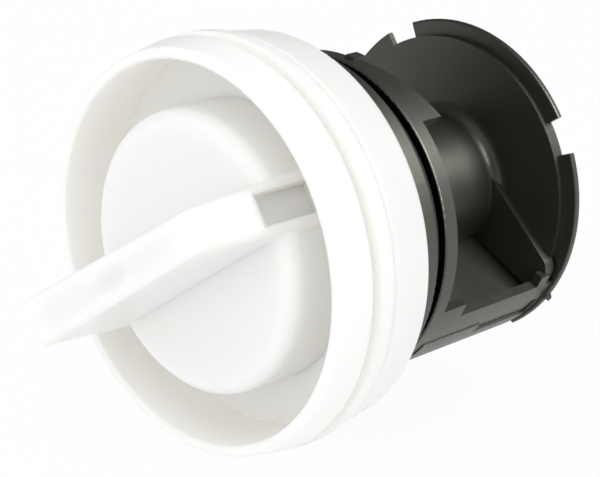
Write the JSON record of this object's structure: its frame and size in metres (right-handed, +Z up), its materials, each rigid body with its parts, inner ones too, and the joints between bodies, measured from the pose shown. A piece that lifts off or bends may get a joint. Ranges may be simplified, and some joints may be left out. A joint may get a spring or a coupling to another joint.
{
  "type": "washing machine drain pump filter",
  "caption": "Drain pump filter: white screw cap with a bar handle in a round finger recess, rubber sealing ring, and black strainer insert with stem, lint pocket and notched end disc.",
  "frame": {"origin": "on the filter's axis, in the plane of the cap's rear rim, where the guiding collar begins", "axes": "+Y along the axis, into the pump housing; +Z up; +X to the right seen from the cap's front"},
  "size_m": [0.0672, 0.0785, 0.0672],
  "materials": {
    "white_polypropylene": "injection moulded, satin to semi-gloss",
    "black_rubber": "moulded, smooth, faint sheen",
    "black_polypropylene": "injection moulded, semi-gloss with fine draw lines"
  },
  "bodies": {
    "root": {"cap": "white_polypropylene", "sealing_ring": "black_rubber", "strainer_insert": "black_polypropylene"}
  },
  "joints": []
}
